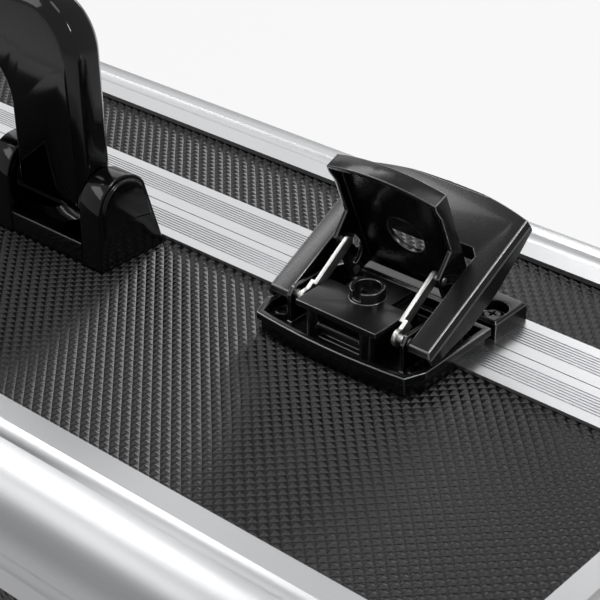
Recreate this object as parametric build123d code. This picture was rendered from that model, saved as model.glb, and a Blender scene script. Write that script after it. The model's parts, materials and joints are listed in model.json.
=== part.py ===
# Carrying case for a desk mixer, standing on its hinge side with the handle up.
# X runs along the case, Y from the base half to the lid half, Z up to the carrying face.
# Each half is a box of textured panels held by aluminium edge bars, posts and closing rails.
# The carrying face holds a bail handle and two key latches, drawn here with the flaps open.
import os
from math import cos, radians, sin, sqrt
from build123d import *

# Overall case, measured over the panel faces
CASE_LENGTH = 586.0
CASE_HEIGHT = 430.0
BASE_DEPTH = 123.2
LID_DEPTH = 68.7
PANEL_THICK = 6.5

# Aluminium edge bars, posts and corner caps
EDGE_PROUD = 1.4
EDGE_LEG = 27.6
EDGE_RADIUS = 16.0
EDGE_SEAT = 16.2
EDGE_INNER_LEG = 23.0
EDGE_SHEET = 1.2
VALLEY_WIDTH = 5.1
VALLEY_DEPTH = 0.5
CAP_LENGTH = 36.0
CAP_WALL = 1.2
CAP_LAP = 5.0

# Closing rails round the mouth of each half
RAIL_PROUD = 1.0
BASE_RAIL_WIDTH = 13.6
LID_RAIL_WIDTH = 14.7
RAIL_WEB = 5.0
RAIL_INNER_WALL = 1.5
RIB_COUNT = 7
RIB_PITCH = 1.05
RIB_GROOVE = 0.5
RIB_DEPTH = 0.35
BASE_RIB_START = 3.3
LID_RIB_START = 4.4
TONGUE_HEIGHT = 2.6
TONGUE_THICK = 2.4
TONGUE_INSET = 2.6
GROOVE_GAP = 0.4
TONGUE_FROM_REAR = 24.0
PARTING_GAP = 0.3

# Foam lining
FOAM_FLOOR = 22.0
FOAM_WALL = 16.0
FOAM_GAP = 0.3
FOAM_RIM_DROP = 12.0
LID_FOAM = 24.0

# Feet
FOOT_STAND = 10.0
FOOT_RADIUS = 13.0
FOOT_TIP_RADIUS = 12.0
FOOT_FROM_END = 85.0
INNER_FOOT_Y = -30.0
OUTER_FOOT_INSET = 26.0
BOTTOM_FOOT_FROM_END = 60.0

# Lid hinges on the lower side
HINGE_LENGTH = 60.0
HINGE_LEAF = 12.5
HINGE_SHEET = 1.6
HINGE_FROM_END = 120.0
KNUCKLE_RADIUS = 3.0
HINGE_PIN_RADIUS = 1.5
HINGE_DROP = 3.2
KNUCKLE_GAP = 0.4
PIN_RUNNING = 0.05

# Bail handle and its brackets
BRACKET_X = 75.0
BRACKET_WIDTH = 47.2
CHEEK_WIDTH = 8.8
BRACKET_FRONT = -38.7
BRACKET_BACK = -15.1
BRACKET_FLOOR = 3.0
BRACKET_RIM = 6.0
BRACKET_WALL = 1.8
BRACKET_STOP = 9.0
CHEEK_FRONT_HEIGHT = 17.0
CHEEK_HEIGHT = 25.8
CHEEK_SHOULDER_Y = -21.0
CHEEK_SHOULDER_Z = 21.5
CHEEK_CAP = 0.8
CHEEK_CAP_INSET = 1.4
CHEEK_ARC_RADIUS = 24.0
CHEEK_ARC_TOP = 12.0
PIVOT_Y = -27.5
PIVOT_Z = 15.2
HANDLE_PIN_RADIUS = 3.0
HANDLE_PIN_REACH = 9.0
HANDLE_SIDE_GAP = 0.4
LEG_THICK = 12.4
LEG_SHIFT = -2.2
LEG_ROOT = 8.4
GRIP_UNDER = 51.0
GRIP_TOP = 74.0
GRIP_RADIUS = 10.5
GRIP_LENGTH = 84.0
HANDLE_OUTER_RADIUS = 16.0
HANDLE_INNER_RADIUS = 12.0
HANDLE_CHAMFER = 2.8
BRACKET_SCREW_FROM_CENTRE = 9.0

# Latches: places are measured from the parting line and the panel face
LATCH_FROM_END = 119.0
TRAY_HALF = 26.6
TRAY_FRONT = -32.8
TRAY_BACK = -0.8
TRAY_FRONT_HALF = 24.2
TRAY_CHAMFER_START = -27.0
TRAY_BOW = 1.6
TRAY_FOOT_INSET = 1.0
TRAY_FOOT_HEIGHT = 3.6
TRAY_RIM = 5.8
TRAY_FLOOR = 2.2
TRAY_WALL = 1.8
TRAY_NOTCH_TOP = 4.4
EAR_INNER = 17.8
EAR_THICK = 1.2
EAR_TOP = 12.0
EAR_FRONT = -26.6
LATCH_PIN_RADIUS = 1.2

# Flap of the latch, drawn closed and then opened about its pin
FLAP_PIVOT_Y = -2.5
FLAP_PIVOT_Z = 7.7
FLAP_TOP = 15.0
FLAP_THICK = 1.5
FLAP_HALF = 17.3
FLAP_SIDE = 1.2
FLAP_FRONT = -38.1
FLAP_BACK = 0.3
FLAP_BOW = 2.4
FLAP_LIP_LOW = 10.2
FLAP_LIP_THICK = 1.4
FLAP_SIDE_LOW = 4.6
FLAP_LUG_RADIUS = 2.2
FLAP_PIN_PASS = 11.1
FLAP_OPEN = 69.0
KEY_HOLE_RADIUS = 5.8

# Draw frame of the latch, a U of sheet hinged at the sides of the tray
FRAME_PIVOT_Y = -14.5
FRAME_PIVOT_Z = 9.5
FRAME_OPEN = 27.1
FRAME_FRONT = -25.1
FRAME_BACK = 19.9
FRAME_BOW = 3.6
FRAME_TOP = 15.0
FRAME_SHEET = 1.6
FRAME_HALF = 26.6
FRAME_BEVEL = 0.9
FRAME_INNER_HALF = 19.5
FRAME_SKIRT = 1.4
FRAME_WEB = 1.2
FRAME_WINDOW_BACK = 7.2
FRAME_WINDOW_CHAMFER = 2.0
FRAME_SKIRT_LOW = 7.45

# Stay links between the tray and the flap
LINK_PIVOT_Y = -23.8
LINK_PIVOT_Z = 9.5
LINK_LENGTH = 18.3
LINK_CLOSED = -3.0
LINK_SWING = 36.0
LINK_OUTER = 15.8
LINK_STEP = 1.1
LINK_THICK = 1.2
LINK_HALF_WIDTH = 1.5
LINK_EYE = 2.3
LINK_KINK = 4.6
LINK_PIN_RADIUS = 0.8
SLOT_CLEARANCE = 0.25
SLOT_POINTS = 6

# Lock under the flap
LOCK_Y = -17.4
PLATE_TOP = 12.6
PLATE_THICK = 1.6
PLATE_HALF = 13.0
PLATE_FRONT = -30.1
PLATE_SHOULDER = -16.8
PLATE_BACK = -8.0
PLATE_TONGUE_HALF = 7.2
RING_RADIUS = 4.6
RING_TOP = 15.6
CORE_RADIUS = 3.4
CORE_DEPTH = 9.0
CORE_RECESS = 2.4
COLLAR_GAP = 2.6
KEY_SLOT = 1.1
HOUSING_HALF = 9.6
HOUSING_FRONT = -28.6
HOUSING_BACK = -9.0
POST_RADIUS = 1.9
BAR_RADIUS = 0.9

# Strike plate on the lid
STRIKE_HALF = 26.6
STRIKE_FRONT = 1.0
STRIKE_BACK = 14.5
STRIKE_TOP = 6.4
STRIKE_BEVEL = 0.8
STRIKE_WELL_RADIUS = 4.2
STRIKE_WELL_DEPTH = 3.2
STRIKE_WELL_X = 21.6
STRIKE_WELL_Y = 6.4

# Screws
SCREW_HEAD_RADIUS = 2.5
SCREW_HEAD = 1.6
SCREW_SHANK = 1.5
SCREW_BITE = 4.5
SCREW_PLAY = 0.1
TRAY_SCREWS = ((22.0, -17.6), (22.0, -25.2))

# Places worked out from the sizes above
Y_PART = (BASE_DEPTH + FOOT_STAND - EDGE_PROUD - LID_DEPTH - CAP_WALL) / 2
Z_REAR = FOOT_STAND
Z_FACE = FOOT_STAND + CASE_HEIGHT
Z_MID = (Z_REAR + Z_FACE) / 2
X_FACE = CASE_LENGTH / 2
X_EDGE = X_FACE + EDGE_PROUD
LATCH_X = X_FACE - LATCH_FROM_END
HINGE_X = X_FACE - HINGE_FROM_END
Z_TOP_EDGE = Z_FACE + EDGE_PROUD
Z_LOW_EDGE = Z_REAR - EDGE_PROUD
HINGE_Y = Y_PART
HINGE_FACE = Z_REAR - RAIL_PROUD
HINGE_Z = HINGE_FACE - HINGE_DROP


def block(x0, x1, y0, y1, z0, z1):
    """A square block between two corners."""
    centre = Pos((x0 + x1) / 2, (y0 + y1) / 2, (z0 + z1) / 2)
    return centre * Box(x1 - x0, y1 - y0, z1 - z0)


def rod_x(x0, x1, y, z, radius):
    """A round bar along X."""
    return Pos((x0 + x1) / 2, y, z) * Rot(0, 90, 0) * Cylinder(radius, x1 - x0)


def rod_z(x, y, z0, z1, radius):
    """A round bar along Z."""
    return Pos(x, y, (z0 + z1) / 2) * Cylinder(radius, z1 - z0)


def side_shape(points, x0, x1):
    """A straight-sided outline in Y and Z, carried from x0 to x1."""
    outline = Polyline(*[(0, y, z) for y, z in points], close=True)
    return extrude(Pos(x0, 0, 0) * make_face(outline), amount=x1 - x0, dir=(1, 0, 0))


def turned(shape, y, z, angle):
    """The shape turned about the X-direction axis through y, z."""
    return Pos(0, y, z) * Rot(angle, 0, 0) * Pos(0, -y, -z) * shape


def write(node, *shapes):
    """Write one node, as one solid or as a group of separate solids."""
    solids = [solid for shape in shapes for solid in shape.solids()]
    whole = solids[0] if len(solids) == 1 else Compound(children=solids)
    export_step(whole, os.path.join("parts", node + ".step"))


# Edge bars and posts: one hollow extrusion with a round back and two panel seats
def edge_section():
    inner = EDGE_PROUD + PANEL_THICK
    wall = RAIL_INNER_WALL
    valley = EDGE_RADIUS + VALLEY_WIDTH
    mid = EDGE_RADIUS + VALLEY_WIDTH / 2
    steps = Polyline(
        (valley, 0), (EDGE_LEG, 0), (EDGE_LEG, EDGE_PROUD), (EDGE_SEAT, EDGE_PROUD),
        (EDGE_SEAT, inner), (EDGE_INNER_LEG, inner), (EDGE_INNER_LEG, inner + wall),
        (inner + wall, inner + wall), (inner + wall, EDGE_INNER_LEG),
        (inner, EDGE_INNER_LEG), (inner, EDGE_SEAT), (EDGE_PROUD, EDGE_SEAT),
        (EDGE_PROUD, EDGE_LEG), (0, EDGE_LEG), (0, valley),
    )
    side_valley = ThreePointArc((0, valley), (VALLEY_DEPTH, mid), (0, EDGE_RADIUS))
    turn = EDGE_RADIUS * (1 - sqrt(0.5))
    back = ThreePointArc((0, EDGE_RADIUS), (turn, turn), (EDGE_RADIUS, 0))
    foot_valley = ThreePointArc((EDGE_RADIUS, 0), (mid, VALLEY_DEPTH), (valley, 0))
    section = make_face([steps, side_valley, back, foot_valley])
    return section - edge_hollow(inner + wall - EDGE_SHEET)


def edge_hollow(deep):
    """The hollow of the extrusion, an L that follows the round back."""
    far = EDGE_SEAT - EDGE_SHEET
    near = EDGE_SHEET + 0.1
    turn = EDGE_RADIUS - (EDGE_RADIUS - EDGE_SHEET) * sqrt(0.5)
    steps = Polyline((far, near), (far, deep), (deep, deep), (deep, far), (near, far))
    back = ThreePointArc((near, far), (turn, turn), (far, near))
    return make_face([steps, back])


def edge_bar(corner, first, second, length):
    """The edge section with its corner at a point, carried both ways by half the length."""
    first, second = Vector(*first), Vector(*second)
    along = first.cross(second)
    origin = Vector(*corner) - along * (length / 2)
    plane = Plane(origin=origin, x_dir=first, z_dir=along)
    return extrude(plane * edge_section(), amount=length)


def half_edges(name, outer_y, inward):
    """The four edge bars and four posts of one half."""
    cover = CAP_LENGTH - CAP_LAP
    across = 2 * X_EDGE - 2 * cover
    upright = Z_TOP_EDGE - Z_LOW_EDGE - 2 * cover
    step = (0, inward, 0)
    write(name + "_edge_front", edge_bar((0, outer_y, Z_TOP_EDGE), step, (0, 0, -1), across))
    write(name + "_edge_rear", edge_bar((0, outer_y, Z_LOW_EDGE), step, (0, 0, 1), across))
    write(name + "_edge_left", edge_bar((-X_EDGE, outer_y, Z_MID), step, (1, 0, 0), upright))
    write(name + "_edge_right", edge_bar((X_EDGE, outer_y, Z_MID), step, (-1, 0, 0), upright))
    rail = BASE_RAIL_WIDTH if inward > 0 else LID_RAIL_WIDTH
    depth = BASE_DEPTH if inward > 0 else LID_DEPTH
    length = depth - cover - rail
    middle = Y_PART - inward * (rail + length / 2)
    posts = [
        edge_bar((sx * X_EDGE, middle, z), (-sx, 0, 0), (0, 0, dz), length)
        for sx in (-1, 1) for z, dz in ((Z_TOP_EDGE, -1), (Z_LOW_EDGE, 1))
    ]
    write(name + "_corner_posts", *posts)


def half_caps(name, outer_y, inward):
    """Thin pressed caps over the four outer corners of one half."""
    mouth = Y_PART

    def envelope(grow):
        far = outer_y - inward * grow
        y0, y1 = min(far, mouth), max(far, mouth)
        shell = block(-X_EDGE - grow, X_EDGE + grow, y0, y1, Z_LOW_EDGE - grow, Z_TOP_EDGE + grow)
        rounded = [e for e in shell.edges() if abs(e.center().Y - mouth) > 1]
        return fillet(rounded, EDGE_RADIUS + grow)

    skin = envelope(CAP_WALL) - envelope(0)
    reach, out = CAP_LENGTH, 2 * CAP_WALL
    y0, y1 = sorted((outer_y - inward * out, outer_y + inward * reach))
    caps = []
    for sx in (-1, 1):
        x0, x1 = sorted((sx * (X_EDGE - reach), sx * (X_EDGE + out)))
        for z0, z1 in ((Z_LOW_EDGE - out, Z_LOW_EDGE + reach), (Z_TOP_EDGE - reach, Z_TOP_EDGE + out)):
            caps.append(skin & block(x0, x1, y0, y1, z0, z1))
    write(name + "_corner_caps", *caps)


# Closing rails: rings round the mouth, cut on the mitre into four lengths
def ring(y0, y1, outer, inner):
    """A ring in X and Z between two depths below the panel faces."""
    plane = Plane(origin=(0, y1, Z_MID), x_dir=(1, 0, 0), z_dir=(0, -1, 0))
    radius = EDGE_RADIUS - EDGE_PROUD - outer
    out = RectangleRounded(CASE_LENGTH - 2 * outer, CASE_HEIGHT - 2 * outer, radius)
    hole = Rectangle(CASE_LENGTH - 2 * inner, CASE_HEIGHT - 2 * inner)
    return extrude(plane * (out - hole), amount=y1 - y0)


def rail_ring(width, inward, tongue, rib_start):
    """One half's rail: ribbed face, panel seat, and the tongue or groove at the mouth."""
    inner = PANEL_THICK + RAIL_INNER_WALL

    def between(near, far, outer, depth):
        ends = sorted((Y_PART - inward * near, Y_PART - inward * far))
        return ring(ends[0], ends[1], outer, depth)

    rail = between(PARTING_GAP / 2, width, -RAIL_PROUD, inner)
    rail -= between(RAIL_WEB, width + 1, 0, PANEL_THICK)
    for index in range(RIB_COUNT):
        near = rib_start + index * RIB_PITCH
        rail -= between(near, near + RIB_GROOVE, -RAIL_PROUD - 1, RIB_DEPTH - RAIL_PROUD)
    low, high = TONGUE_INSET, TONGUE_INSET + TONGUE_THICK
    keep = Z_REAR + TONGUE_FROM_REAR
    if tongue:
        bead = between(-TONGUE_HEIGHT, PARTING_GAP, low, high)
        return rail + (bead & block(-X_EDGE, X_EDGE, Y_PART - 50, Y_PART + 50, keep, Z_TOP_EDGE))
    slot = between(-1, TONGUE_HEIGHT + GROOVE_GAP, low - GROOVE_GAP, high + GROOVE_GAP)
    return rail - (slot & block(-X_EDGE, X_EDGE, Y_PART - 50, Y_PART + 50, keep - 8, Z_TOP_EDGE))


def rail_lengths(rail):
    """The ring cut on its corner diagonals."""
    x, z = X_FACE + 5, CASE_HEIGHT / 2 + 5
    reach = min(x, z)
    wedges = (
        ((-x, z), (x, z), (x - reach, z - reach), (-x + reach, z - reach)),
        ((x, z), (x, -z), (x - reach, z - reach)),
        ((x, -z), (-x, -z), (-x + reach, -z + reach), (x - reach, -z + reach)),
        ((-x, -z), (-x, z), (-x + reach, z - reach)),
    )
    plane = Plane(origin=(0, Y_PART, Z_MID), x_dir=(1, 0, 0), z_dir=(0, -1, 0))
    lengths = []
    for points in wedges:
        outline = make_face(plane * Polyline(*points, close=True))
        wedge = extrude(outline, amount=40, both=True)
        lengths.append(rail & wedge)
    return lengths


def half_rails(name, width, inward, tongue, rib_start):
    write(name + "_rails", *rail_lengths(rail_ring(width, inward, tongue, rib_start)))


# Panels seat in the edge bars, posts and rails
def screw_holes(places):
    """Pilot holes in the face panel under the given screws."""
    radius = SCREW_SHANK + SCREW_PLAY
    return [rod_z(x, Y_PART + y, Z_FACE - SCREW_BITE, Z_FACE + 1, radius) for x, y in places]


def half_panels(name, outer_y, inward, screws):
    near, far = outer_y + inward * EDGE_SEAT, Y_PART - inward * RAIL_WEB
    y0, y1 = sorted((near, far))
    x = X_EDGE - EDGE_SEAT
    z0, z1 = Z_LOW_EDGE + EDGE_SEAT, Z_TOP_EDGE - EDGE_SEAT
    front = block(-x, x, y0, y1, Z_FACE - PANEL_THICK, Z_FACE)
    for hole in screw_holes(screws):
        front -= hole
    write(name + "_front_panel", front)
    write(name + "_rear_panel", block(-x, x, y0, y1, Z_REAR, Z_REAR + PANEL_THICK))
    write(name + "_right_panel", block(X_FACE - PANEL_THICK, X_FACE, y0, y1, z0, z1))
    write(name + "_left_panel", block(-X_FACE, -X_FACE + PANEL_THICK, y0, y1, z0, z1))
    skin = outer_y + inward * EDGE_PROUD
    y0, y1 = sorted((skin, skin + inward * PANEL_THICK))
    cover = "bottom" if inward > 0 else "top"
    write(name + "_" + cover + "_panel", block(-x, x, y0, y1, z0, z1))


# Foam: a floor pad with four walls in the base, and one pad in the lid
def foam_parts():
    clear = PANEL_THICK + RAIL_INNER_WALL + FOAM_GAP
    skin = EDGE_PROUD + clear
    x, z0, z1 = X_FACE - clear, Z_REAR + clear, Z_FACE - clear
    floor_y = Y_PART - BASE_DEPTH + skin
    pad_y = floor_y + FOAM_FLOOR
    rim_y = Y_PART - FOAM_RIM_DROP
    wall = FOAM_WALL
    base = [
        block(-x, x, floor_y, pad_y, z0, z1),
        block(-x, x, pad_y, rim_y, z0, z0 + wall),
        block(-x, x, pad_y, rim_y, z1 - wall, z1),
        block(-x, -x + wall, pad_y, rim_y, z0 + wall, z1 - wall),
        block(x - wall, x, pad_y, rim_y, z0 + wall, z1 - wall),
    ]
    write("base_foam", *base)
    top_y = Y_PART + LID_DEPTH - skin
    write("lid_foam", block(-x, x, top_y - LID_FOAM, top_y, z0, z1))


# Feet on the hinge side and on the underside
def foot(origin, outward, height):
    plane = Plane(origin=origin, z_dir=outward)
    tip = height - 1.5
    profile = make_face(Polyline(
        (0, 0), (FOOT_RADIUS, 0), (FOOT_RADIUS, height / 3), (FOOT_TIP_RADIUS, tip),
        (FOOT_TIP_RADIUS - 1.5, height), (0, height), close=True,
    ))
    return plane * revolve(Plane.XZ * profile, axis=Axis.Z)


def edge_foot(x, edge_y, side):
    """A foot near the outer edge, its top stepped over the lip of the edge bar."""
    step = edge_y - side * EDGE_LEG
    y0, y1 = sorted((step, edge_y))
    lip = block(x - 2 * FOOT_RADIUS, x + 2 * FOOT_RADIUS, y0, y1, Z_LOW_EDGE, Z_REAR + 1)
    return foot((x, edge_y - side * OUTER_FOOT_INSET, Z_REAR), (0, 0, -1), FOOT_STAND) - lip


def feet_parts():
    """The outer row lets each half stand by itself with the case upright."""
    x = X_FACE - FOOT_FROM_END
    rear = [foot((sx * x, Y_PART + INNER_FOOT_Y, Z_REAR), (0, 0, -1), FOOT_STAND) for sx in (-1, 1)]
    rear += [edge_foot(sx * x, Y_PART - BASE_DEPTH, -1) for sx in (-1, 1)]
    write("rear_feet", *rear)
    write("lid_feet", *[edge_foot(sx * x, Y_PART + LID_DEPTH, 1) for sx in (-1, 1)])
    y = Y_PART - BASE_DEPTH + EDGE_PROUD
    reach = CASE_HEIGHT / 2 - BOTTOM_FOOT_FROM_END
    under = [foot((sx * x, y, Z_MID + sz * reach), (0, -1, 0), FOOT_STAND) for sx in (-1, 1) for sz in (-1, 1)]
    write("bottom_feet", *under)


# Hinges: two leaves with knuckles round one pin
def hinge_leaf(inward, cleared):
    """One leaf, with notches where the other leaf's knuckles stand."""
    near, far = sorted((HINGE_Y - inward * 0.5, HINGE_Y - inward * HINGE_LEAF))
    half = HINGE_LENGTH / 2
    leaf = block(-half, half, near, far, HINGE_FACE - HINGE_SHEET, HINGE_FACE)
    swing = KNUCKLE_RADIUS + KNUCKLE_GAP
    for x0, x1 in cleared:
        leaf -= block(x0 - KNUCKLE_GAP, x1 + KNUCKLE_GAP, HINGE_Y - swing, HINGE_Y + swing,
                      HINGE_Z - KNUCKLE_RADIUS, HINGE_FACE)
    return leaf


def hinge_parts(side, x):
    half = HINGE_LENGTH / 2
    third = HINGE_LENGTH / 6
    outer = ((-half, -third), (third, half))
    inner = ((-third + KNUCKLE_GAP, third - KNUCKLE_GAP),)
    web_top = HINGE_FACE - HINGE_SHEET / 2
    leaves = []
    for inward, own, other in ((1, outer, inner), (-1, inner, outer)):
        leaf = hinge_leaf(inward, other)
        y0, y1 = sorted((HINGE_Y, HINGE_Y - inward * KNUCKLE_RADIUS))
        for x0, x1 in own:
            leaf += rod_x(x0, x1, HINGE_Y, HINGE_Z, KNUCKLE_RADIUS)
            leaf += block(x0, x1, y0, y1, HINGE_Z, web_top)
        leaves.append(leaf)
    base, lid = leaves
    base -= rod_x(-half - 1, half + 1, HINGE_Y, HINGE_Z, HINGE_PIN_RADIUS)
    lid -= rod_x(-half - 1, half + 1, HINGE_Y, HINGE_Z, HINGE_PIN_RADIUS + PIN_RUNNING)
    write("hinge_base_leaf_" + side, Pos(x, 0, 0) * base)
    write("hinge_lid_leaf_" + side, Pos(x, 0, 0) * lid)
    pin = rod_x(-half, half, HINGE_Y, HINGE_Z, HINGE_PIN_RADIUS)
    write("hinge_pin_" + side, Pos(x, 0, 0) * pin)


# Handle brackets: two D-shaped cheeks on a floor with a low front rim and a rear stop
def cheek_outline():
    foot_line = Polyline((BRACKET_FRONT, 0), (BRACKET_BACK, 0), (BRACKET_BACK - 1, 4),
                         (CHEEK_SHOULDER_Y, CHEEK_SHOULDER_Z))
    crown_y = (BRACKET_FRONT + CHEEK_SHOULDER_Y) / 2
    crown = ThreePointArc((CHEEK_SHOULDER_Y, CHEEK_SHOULDER_Z), (crown_y, CHEEK_HEIGHT),
                          (BRACKET_FRONT + 0.5, CHEEK_FRONT_HEIGHT))
    front = Line((BRACKET_FRONT + 0.5, CHEEK_FRONT_HEIGHT), (BRACKET_FRONT, 0))
    return make_face([foot_line, crown, front])


def cheek(sx):
    """One cheek with a raised D on its outer face."""
    gap = BRACKET_WIDTH / 2 - CHEEK_WIDTH
    plane = Plane(origin=(0, 0, 0), x_dir=(0, 1, 0), z_dir=(1, 0, 0))
    outline = cheek_outline()
    side = extrude(plane * outline, amount=CHEEK_WIDTH - CHEEK_CAP)
    raised = offset(outline, amount=-CHEEK_CAP_INSET)
    arc_centre = CHEEK_ARC_TOP - CHEEK_ARC_RADIUS
    under = Pos((BRACKET_FRONT + BRACKET_BACK) / 2, arc_centre) * Circle(CHEEK_ARC_RADIUS)
    raised = plane * (raised - under)
    side += Pos(CHEEK_WIDTH - CHEEK_CAP, 0, 0) * extrude(raised, amount=CHEEK_CAP)
    side = Pos(gap, 0, 0) * side
    return side if sx > 0 else mirror(side, about=Plane.YZ)


def bracket():
    gap = BRACKET_WIDTH / 2 - CHEEK_WIDTH
    front, back = BRACKET_FRONT + 0.6, BRACKET_BACK - 0.6
    body = block(-gap, gap, front, back, 0, BRACKET_FLOOR)
    body += block(-gap, gap, front, front + BRACKET_WALL, 0, BRACKET_RIM)
    body += block(-gap, gap, back - BRACKET_WALL, back, 0, BRACKET_STOP)
    for sx in (-1, 1):
        body += cheek(sx)
    for sx in (-1, 1):
        x = sx * BRACKET_SCREW_FROM_CENTRE
        body -= rod_z(x, PIVOT_Y, -1, BRACKET_FLOOR + 1, SCREW_SHANK + SCREW_PLAY)
        x0, x1 = sorted((sx * (gap - 0.5), sx * (gap + HANDLE_PIN_REACH / 2)))
        body -= rod_x(x0, x1, PIVOT_Y, PIVOT_Z, HANDLE_PIN_RADIUS)
    return body


def on_face(shape, x):
    """Set a shape drawn from the parting line and the panel face on the case."""
    return Pos(x, Y_PART, Z_FACE) * shape


def screw(x, y, seat, low):
    """A pan-head screw whose head rests on a seat and whose shank ends at a level."""
    head = rod_z(x, y, seat, seat + SCREW_HEAD, SCREW_HEAD_RADIUS)
    head = fillet(head.edges().sort_by(Axis.Z)[-1], SCREW_HEAD * 0.4)
    reach = SCREW_HEAD_RADIUS * 0.55
    cut_low, cut_top = seat + SCREW_HEAD * 0.5, seat + SCREW_HEAD + 1
    cross = block(x - reach, x + reach, y - 0.35, y + 0.35, cut_low, cut_top)
    cross += block(x - 0.35, x + 0.35, y - reach, y + reach, cut_low, cut_top)
    return head - cross + rod_z(x, y, low, seat, SCREW_SHANK)


# The handle: legs and grip in one moulding, with bevelled edges
def handle():
    half_leg = BRACKET_WIDTH / 2 - CHEEK_WIDTH - HANDLE_SIDE_GAP
    outer, inner = BRACKET_X + half_leg, BRACKET_X - half_leg
    low = PIVOT_Z
    blank = block(-outer, outer, -LEG_THICK / 2, LEG_THICK / 2, low, GRIP_TOP)
    crown = [e for e in blank.edges().filter_by(Axis.Y) if e.center().Z > GRIP_TOP - 1]
    blank = fillet(crown, HANDLE_OUTER_RADIUS)
    gap = block(-inner, inner, -LEG_THICK, LEG_THICK, low - LEG_ROOT, GRIP_UNDER)
    crown = [e for e in gap.edges().filter_by(Axis.Y) if e.center().Z > GRIP_UNDER - 1]
    blank -= fillet(crown, HANDLE_INNER_RADIUS)
    faces = [e for e in blank.edges() if abs(abs(e.center().Y) - LEG_THICK / 2) < 0.01]
    blank = chamfer([e for e in faces if e.center().Z > low + 0.5], HANDLE_CHAMFER)
    blank = Pos(0, LEG_SHIFT, 0) * blank
    grip_z = (GRIP_UNDER + GRIP_TOP) / 2
    grip = Cylinder(GRIP_RADIUS, GRIP_LENGTH)
    blank += Pos(0, LEG_SHIFT, grip_z) * Rot(0, 90, 0) * fillet(grip.edges(), GRIP_RADIUS * 0.3)
    bore = HANDLE_PIN_RADIUS + PIN_RUNNING
    for sx in (-1, 1):
        x0, x1 = sorted((sx * inner, sx * outer))
        blank += rod_x(x0, x1, 0, low, LEG_ROOT)
        for edge_x, way in ((inner, 1), (outer, -1)):
            x0, x1 = sorted((sx * (edge_x - way), sx * (edge_x + way * (HANDLE_PIN_REACH / 2 + 0.6))))
            blank -= rod_x(x0, x1, 0, low, bore)
    return Pos(0, PIVOT_Y, 0) * blank


def handle_pins():
    pins = []
    gap = BRACKET_WIDTH / 2 - CHEEK_WIDTH
    for sx in (-1, 1):
        for way in (-1, 1):
            x0, x1 = sorted((sx * BRACKET_X + way * (gap - HANDLE_PIN_REACH / 2),
                             sx * BRACKET_X + way * (gap + HANDLE_PIN_REACH / 2)))
            pins.append(rod_x(x0, x1, PIVOT_Y, PIVOT_Z, HANDLE_PIN_RADIUS))
    return pins


def handle_parts():
    screws = []
    for side, x in (("left", -BRACKET_X), ("right", BRACKET_X)):
        write("handle_bracket_" + side, on_face(bracket(), x))
        for sx in (-1, 1):
            place = sx * BRACKET_SCREW_FROM_CENTRE
            screws.append(on_face(screw(place, PIVOT_Y, BRACKET_FLOOR, 0.5 - SCREW_BITE), x))
    write("bracket_screws", *screws)
    write("handle", on_face(handle(), 0))
    write("handle_pins", *[on_face(pin, 0) for pin in handle_pins()])


# Latch tray: a shallow dish with an upright ear down each side that carries the three pins
def bowed(half, plain, edge, bow):
    """A plan outline with straight sides, its edge at Y edge bulging away from the plain one."""
    crown = edge + bow if edge > plain else edge - bow
    sides = Polyline((half, edge), (half, plain), (-half, plain), (-half, edge))
    return make_face([sides, ThreePointArc((-half, edge), (0, crown), (half, edge))])


def tray_outline(inset):
    half, front = TRAY_HALF - inset, TRAY_FRONT + inset
    nose, turn, back = TRAY_FRONT_HALF - inset * 0.6, TRAY_CHAMFER_START + inset * 0.3, TRAY_BACK - inset
    points = ((nose, front), (half, turn), (half, back), (-half, back), (-half, turn), (-nose, front))
    crown = ThreePointArc((-nose, front), (0, front - TRAY_BOW), (nose, front))
    return make_face([Polyline(*points), crown])


def tray():
    dish = extrude(tray_outline(TRAY_FOOT_INSET), amount=TRAY_FOOT_HEIGHT)
    dish += Pos(0, 0, TRAY_FOOT_HEIGHT) * extrude(tray_outline(0), amount=TRAY_RIM - TRAY_FOOT_HEIGHT)
    dish -= Pos(0, 0, TRAY_FLOOR) * extrude(tray_outline(TRAY_WALL), amount=TRAY_RIM)
    dish -= block(-TRAY_HALF - 1, TRAY_HALF + 1, -BASE_RAIL_WIDTH - 0.2, 1, -1, RAIL_PROUD)
    dish -= block(-EAR_INNER, EAR_INNER, TRAY_BACK - TRAY_WALL - 1, 1, TRAY_NOTCH_TOP, TRAY_RIM + 1)
    for sx in (-1, 1):
        dish += ear(sx)
        for x, y in TRAY_SCREWS:
            dish -= rod_z(sx * x, y, -1, TRAY_FLOOR + 1, SCREW_SHANK + SCREW_PLAY)
    return dish


def ear(sx):
    x0, x1 = sorted((sx * EAR_INNER, sx * (EAR_INNER + EAR_THICK)))
    low = TRAY_FLOOR - 0.2
    back = TRAY_BACK - TRAY_WALL / 2
    points = ((EAR_FRONT, low), (EAR_FRONT, EAR_TOP - 2), (EAR_FRONT + 1.6, EAR_TOP),
              (FRAME_PIVOT_Y + 2, EAR_TOP), (FLAP_PIVOT_Y - 3, FLAP_PIVOT_Z + 2.4),
              (back, FLAP_PIVOT_Z + 2.2), (back, low))
    sheet = side_shape(points, x0, x1)
    for y, z in latch_pivots():
        sheet -= rod_x(x0 - 1, x1 + 1, y, z, LATCH_PIN_RADIUS)
    return sheet


def latch_pivots():
    return ((FLAP_PIVOT_Y, FLAP_PIVOT_Z), (FRAME_PIVOT_Y, FRAME_PIVOT_Z), (LINK_PIVOT_Y, LINK_PIVOT_Z))


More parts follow.
